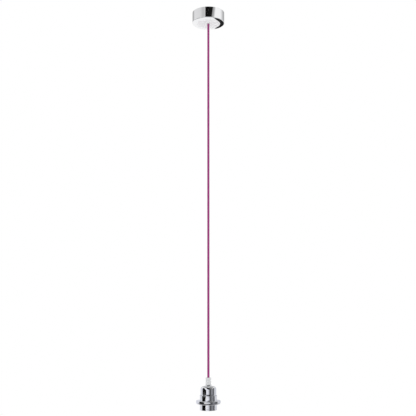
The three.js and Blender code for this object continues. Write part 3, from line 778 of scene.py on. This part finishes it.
# barrel: the lower shell, with a rolled lip and the coarse rounded thread for the shade ring
barrel = {
    "radius": 20.0,
    "lip": 20.3,
    "top": -943.1,
    "lipFoot": -944.7,
    "lipSlope": 0.3,
    "mouth": -976.8,
    "bore": 17.4,
    "socketBore": 18.8,
    "ledge": -951.6,
    "edge": 0.6,
    "thread": {
        "from": -976.4, "to": -949.0, "inner": 19.2, "outer": 20.1,
        "pitch": 4.6, "depth": 0.2, "fade": 2.5, "cuts": 0.35,
    },
    "sides": 128,
}


def makeBarrel(values):
    piece = spinPiece("lampholder_barrel_shell", roundedSection([
        (values["socketBore"], values["top"], 0.5),
        (values["lip"], values["top"], 0.4),
        (values["lip"], values["lipFoot"], 0.25),
        (values["radius"], values["lipFoot"] - values["lipSlope"], 0.2),
        (values["radius"], values["mouth"], values["edge"]),
        (values["bore"], values["mouth"], 0.3),
        (values["bore"], values["ledge"], 0),
        (values["socketBore"], values["ledge"], 0),
    ]), values["sides"], cuts=values["thread"]["cuts"])
    cutThread(piece, values["thread"])
    return piece


finishPiece(makeBarrel(barrel), chrome, "chrome", "pendant", "lampholder_barrel", angle=50)

# shade ring: a rolled channel, open below, with a threaded collar
ring = {
    "radius": 28.8,
    "top": -954.9,
    "foot": -964.0,
    "bore": 20.37,
    "collar": 22.37,
    "topRadius": 1.7,
    "curl": 5.0,
    "curlEnd": 0.05,
    "wall": 1.8,
    "web": 2.0,
    "thread": {
        "from": -963.9, "to": -955.2, "inner": 20.2, "outer": 20.6,
        "pitch": 4.2, "depth": -0.3, "fade": 0.8, "cuts": 0.5,
    },
    "sides": 144,
}


def makeRing(values):
    radius, wall, curl = values["radius"], values["wall"], values["curl"]
    mouth = radius - curl - values["curlEnd"]
    ledge, roof = values["foot"] + wall, values["top"] - values["web"]
    piece = spinPiece("shade_ring_channel", roundedSection([
        (values["bore"], values["top"], 0.3),
        (radius, values["top"], values["topRadius"]),
        (radius, values["foot"], curl),
        (mouth, values["foot"], 0),
        (mouth, ledge, 0),
        (radius - wall, ledge, curl - wall),
        (radius - wall, roof, 1.1),
        (values["collar"], roof, 0.4),
        (values["collar"], values["foot"], 0.3),
        (values["bore"], values["foot"], 0.3),
    ], steps=8), values["sides"], cuts=values["thread"]["cuts"])
    cutThread(piece, values["thread"])
    return piece


finishPiece(makeRing(ring), chrome, "chrome", "ring", "shade_ring", angle=50)
print("lampholder shells shaped")

# socket insert: porcelain body with a stepped deck
insert = {
    "deckRadius": 16.9,
    "deckTop": -943.3,
    "flangeTop": -947.9,
    "flange": 18.5,
    "flangeFoot": -951.3,
    "outer": 17.1,
    "rim": -974.8,
    "bore": 14.2,
    "deckFoot": -951.9,
    "slotX": -5.05,
    "slotWide": 1.7,
    "slotLong": 5.8,
    "slotDeep": 12,
    "screwX": 10.1,
    "screwHole": 1.5,
    "studFoot": -948.3,
    "sides": 96,
}


def makeInsert(values):
    piece = spinPiece("socket_insert_body", roundedSection([
        (0, values["deckTop"], 0),
        (values["deckRadius"], values["deckTop"], 0.8),
        (values["deckRadius"], values["flangeTop"], 0.3),
        (values["flange"], values["flangeTop"], 0.4),
        (values["flange"], values["flangeFoot"], 0.3),
        (values["outer"], values["flangeFoot"], 0.3),
        (values["outer"], values["rim"], 0.6),
        (values["bore"], values["rim"], 0.8),
        (values["bore"], values["deckFoot"], 0.4),
        (0, values["deckFoot"], 0),
    ]), values["sides"], closed=False)
    deckMiddle = (values["deckTop"] + values["deckFoot"]) / 2 * mm
    bpy.ops.mesh.primitive_cube_add(size=1, location=(values["slotX"] * mm, 0, deckMiddle))
    slotSize = (values["slotWide"], values["slotLong"], values["slotDeep"])
    bpy.context.object.scale = [value * mm for value in slotSize]
    cutAway(piece, bpy.context.object)
    for side, foot in ((-1, values["studFoot"]), (1, values["deckFoot"] - overcut)):
        length = values["deckTop"] + overcut - foot
        middle = (side * values["screwX"], 0, foot + length / 2)
        drill(piece, values["screwHole"], middle, length, "Z")
    return piece


finishPiece(makeInsert(insert), porcelain, "porcelain", "pendant", "socket_insert")

# threaded shell: the brass lamp thread, pressed from thin sheet
shell = {
    "radius": 13.9,
    "wall": 0.6,
    "eye": 6.5,
    "top": -952.2,
    "foot": -972.8,
    "screwX": 10.1,
    "screwHole": 1.5,
    "thread": {
        "from": -972.6, "to": -953.2, "inner": 13.2, "outer": 14.0,
        "pitch": 3.63, "depth": 1.05, "fade": 2.0, "cuts": 0.33,
    },
    "sides": 96,
}


def makeShell(values):
    radius, wall = values["radius"], values["wall"]
    piece = spinPiece("threaded_shell_sheet", roundedSection([
        (values["eye"], values["top"], 0),
        (radius, values["top"], 0.8),
        (radius, values["foot"], 0.2),
        (radius - wall, values["foot"], 0.2),
        (radius - wall, values["top"] - wall, 0.3),
        (values["eye"], values["top"] - wall, 0),
    ]), values["sides"], cuts=values["thread"]["cuts"])
    cutThread(piece, values["thread"])
    drill(piece, values["screwHole"], (values["screwX"], 0, values["top"]), 2 * overcut, "Z")
    return piece


finishPiece(makeShell(shell), brass, "brass", "pendant", "threaded_shell", angle=50)
print("socket shaped")

# CAD nodes that keep their shape get their finish
bareFrom = {"cord": 7.0, "earth": 11.6, "link": 27.0}  # a core is bare copper past this radius
brownCore = makeCore("brownCore", "live", bareFrom["cord"])
blueCore = makeCore("blueCore", "neutral", bareFrom["cord"])
earthCore = makeCore("earthCore", "earth", bareFrom["earth"])
linkCore = makeCore("linkCore", "earth", bareFrom["link"])

finishOf = {
    "ceiling_bracket": zinc,
    "canopy_screw_left": zinc,
    "canopy_screw_right": zinc,
    "cord_stop": whitePlastic,
    "cord_stop_screw": zinc,
    "terminal_block": whitePlastic,
    "terminal_block_screw": zinc,
    "canopy_live_core": brownCore,
    "canopy_neutral_core": blueCore,
    "canopy_earth_core": earthCore,
    "bracket_earth_washer": zinc,
    "bracket_earth_screw": brass,
    "bracket_earth_link": linkCore,
    "cord_grip_screw": clearPlastic,
    "threaded_shell_screw": zinc,
    "centre_contact": brass,
    "live_terminal": brass,
    "live_terminal_screw": zinc,
    "neutral_terminal": brass,
    "neutral_terminal_screw": zinc,
    "earth_terminal": brass,
    "earth_terminal_screw": zinc,
    "earth_terminal_rivet": zinc,
    "holder_live_core": brownCore,
    "holder_neutral_core": blueCore,
    "holder_earth_core": earthCore,
}
for pole in ("live", "neutral", "earth"):
    finishOf[f"block_{pole}_insert"] = brass
    finishOf[f"block_{pole}_cord_screw"] = zinc
    finishOf[f"block_{pole}_supply_screw"] = zinc
for name, material in finishOf.items():
    nodes[name].data.materials.clear()
    nodes[name].data.materials.append(material)
print("CAD nodes dressed")

# studio: pale floor, white room and soft cards that the chrome reflects
studio = {
    "floorHeight": -2.75,
    "floorRadius": 2.4,
    "floorSides": 96,
    "floorTones": ((0.90, 0.90, 0.90), (0.93, 0.93, 0.93)),
    "roomLight": 1.0,
}

bpy.ops.object.select_all(action="DESELECT")
bpy.ops.mesh.primitive_circle_add(
    vertices=studio["floorSides"],
    radius=studio["floorRadius"],
    fill_type="NGON",
    location=(0, 0, studio["floorHeight"]),
)
floor = bpy.context.object
floor.name = "floor"
floorFinish = Finish("paleFloor")
floorGrain = floorFinish.noise(9.0, 3.0)
floor.data.materials.append(floorFinish.surface({
    "Base Color": floorFinish.blend(floorGrain, *studio["floorTones"]),
    "Roughness": 0.75,
}))

# rings of glowing cards round the object, in metres, seen only in reflections and through clear
# plastic. Each card: the azimuths in degrees of its left and right edges (0 towards the camera,
# + to the right), its brightness there, and the two azimuths at its top where it leans
cardRings = {
    "canopyCard": {
        "low": 0.52, "high": 0.74, "distance": 1.5,
        "cards": [
            (-180, -138, 0.36, 0.44), (-138, -120, 0.5, 0.72), (-120, -60, 0.82, 0.76),
            (-60, -40, 0.76, 0.58), (-40, -21.5, 0.56, 0.62), (-21.5, 9, 0.006, 0.012, -21.5, 51),
            (9, 24, 0.34, 0.48, 51, 64), (24, 34, 0.60, 0.95, 64, 72), (96, 126, 0.98, 0.60),
            (126, 180, 0.50, 0.38),
        ],
    },
    "levelCard": {
        "low": -0.14, "high": 0.44, "distance": 1.5,
        "cards": [
            (-176, -150, 0.70, 0.42), (-112, -92, 0.02, 0.03), (-92, -60, 0.34, 0.62),
            (-30, -14, 0.62, 0.44), (-14, 8, 0.02, 0.02), (8, 20, 0.40, 0.70), (66, 82, 0.66, 0.48),
            (82, 100, 0.02, 0.02), (100, 118, 0.36, 0.60), (150, 166, 0.60, 0.46),
            (166, 184, 0.02, 0.02),
        ],
    },
    "highCard": {
        "low": 0.80, "high": 2.4, "distance": 1.5,
        "cards": [
            (-152, -128, 0.50, 0.30), (-28, -8, 0.02, 0.02), (-8, 12, 0.45, 0.70),
            (50, 64, 0.50, 0.34), (100, 124, 0.03, 0.03), (124, 150, 0.40, 0.70),
            (160, 184, 0.02, 0.02),
        ],
    },
    "shoulderCard": {
        "low": -1.60, "high": 0.05, "distance": 1.6, "tint": (1, 1, 1.04),
        "cards": [(148, 175.2, 0.02, 0.02, 148, 178)],
    },
    "domeCard": {
        "low": -1.077, "high": -0.28, "distance": 1.2, "tint": (0.96, 0.98, 1.06),
        "cards": [
            (-104, -90, 0.7, 0.3), (-90, -30, 0.0, 0.0, -90, -60), (-30, -12, 0.98, 0.86, -60, -12),
            (-12, 8, 0.84, 0.62), (8, 16, 0.44, 0.22), (16, 28, 0.16, 0.10), (28, 44, 0.08, 0.12),
            (44, 60, 0.36, 0.34), (60, 96, 0.20, 0.14, 60, 106),
        ],
    },
    "shelfCard": {
        "low": -1.066, "high": -1.057, "distance": 1.18,
        "cards": [(-76, -50, 0.20, 0.12)],
    },
    "rimCard": {
        "low": -1.0985, "high": -1.0868, "distance": 1.18,
        "cards": [(-40, 8, 0.30, 0.42)],
    },
    "flagCard": {
        "low": -0.28, "high": 0.25, "distance": 1.2, "topDistance": 1.1,
        "cards": [(-90, -60, 0.0, 0.0, -100, -74)],
    },
    "barrelCard": {
        "low": -1.60, "high": -1.077, "distance": 1.2, "tint": (0.96, 0.98, 1.06),
        "cards": [
            (-104, -90, 0.7, 0.3), (-90, -40, 0.0, 0.004), (-14, 9, 1.0, 0.88), (9, 22, 0.66, 0.18),
            (22, 40, 0.10, 0.12), (40, 60, 0.24, 0.22), (60, 96, 0.16, 0.12),
        ],
    },
    "backCard": {
        "low": -1.18, "high": -0.68, "distance": 0.46, "tint": (0.96, 0.98, 1.06),
        "cards": [(-180, -104, 0.78, 0.76), (96, 180, 0.70, 0.68, 104, 180)],
    },
    "boomCard": {
        "low": -0.85, "high": -0.10, "distance": 0.6, "topDistance": 0.1,
        "cards": [(0, 14, 0.01, 0.01, -80, 45)],
    },
    "rightCard": {
        "low": -0.85, "high": -0.42, "distance": 0.6, "topDistance": 0.32,
        "cards": [(14, 60, 0.10, 0.26, 22, 80)],
    },
    "overheadCard": {
        "low": -0.52, "high": -0.28, "distance": 0.45, "topDistance": 0.1,
        "cards": [(150, 210, 0.12, 0.12)],
    },
    "zenithCard": {
        "low": -0.50, "high": -0.28, "distance": 0.25, "topDistance": 0.1,
        "cards": [(-150, -60, 0.42, 0.26), (40, 150, 0.26, 0.42)],
    },
    "topCard": {
        "low": -0.84, "high": -0.53, "distance": 0.44,
        "cards": [(150, 177.5, 0.62, 0.45), (177.5, 182.5, 0.15, 0.15), (182.5, 210, 0.45, 0.62)],
    },
    "groundCard": {
        "low": -1.12, "high": -1.14, "distance": 0.42, "topDistance": 0.02, "tint": (1, 1, 1.1),
        "cards": [
            (-130, -60, 0.20, 0.08), (-60, -20, 0.10, 0.24), (-20, 5, 0.14, 0.05),
            (5, 25, 0.015, 0.03), (25, 60, 0.06, 0.18), (60, 130, 0.18, 0.22),
        ],
    },
}
cardGrid = {"degrees": 6, "rows": 6}  # fineness of a card's mesh


def hideFromCamera(piece):
    piece.visible_camera = False
    piece.visible_diffuse = False
    piece.visible_shadow = False


def makeCard(name, band, card):
    fromAngle, toAngle, fromGlow, toGlow = card[:4]
    fromTop, toTop = card[4:] or (fromAngle, toAngle)
    lean = band.get("topDistance", band["distance"]) - band["distance"]
    columns = max(2, round((toAngle - fromAngle) / cardGrid["degrees"]))
    bpy.ops.mesh.primitive_grid_add(
        x_subdivisions=columns, y_subdivisions=cardGrid["rows"], size=2, location=(0, 0, 0)
    )
    piece = bpy.context.object
    piece.name = name
    for vertex in piece.data.vertices:
        share, climb = (vertex.co.x + 1) / 2, (vertex.co.y + 1) / 2
        left = fromAngle + (fromTop - fromAngle) * climb
        right = toAngle + (toTop - toAngle) * climb
        angle = math.radians(left + (right - left) * share)
        distance = band["distance"] + lean * climb
        height = band["low"] + (band["high"] - band["low"]) * climb
        vertex.co = (distance * math.sin(angle), -distance * math.cos(angle), height)
    finish = Finish(name)
    chart = finish.node("ShaderNodeTexCoord", output="UV")
    across = finish.component(chart, "X")
    glow = finish.node("ShaderNodeEmission", sockets={
        "Color": (*band.get("tint", (1, 1, 1)), 1),
        "Strength": across * (toGlow - fromGlow) + fromGlow,
    })
    finish.node("ShaderNodeOutputMaterial", sockets={"Surface": glow})
    piece.data.materials.append(finish.material)
    hideFromCamera(piece)


for bandName, band in cardRings.items():
    for number, card in enumerate(band["cards"]):
        makeCard(f"{bandName}{number}", band, card)

world = bpy.data.worlds.new("whiteRoom")
bpy.context.scene.world = world
world.use_nodes = True
room = Finish("whiteRoom", world.node_tree)
light = room.node("ShaderNodeBackground", sockets={
    "Color": (1, 1, 1, 1),
    "Strength": studio["roomLight"],
})
room.node("ShaderNodeOutputWorld", sockets={"Surface": light})
bpy.context.scene.view_settings.view_transform = "Standard"
print("studio lit")
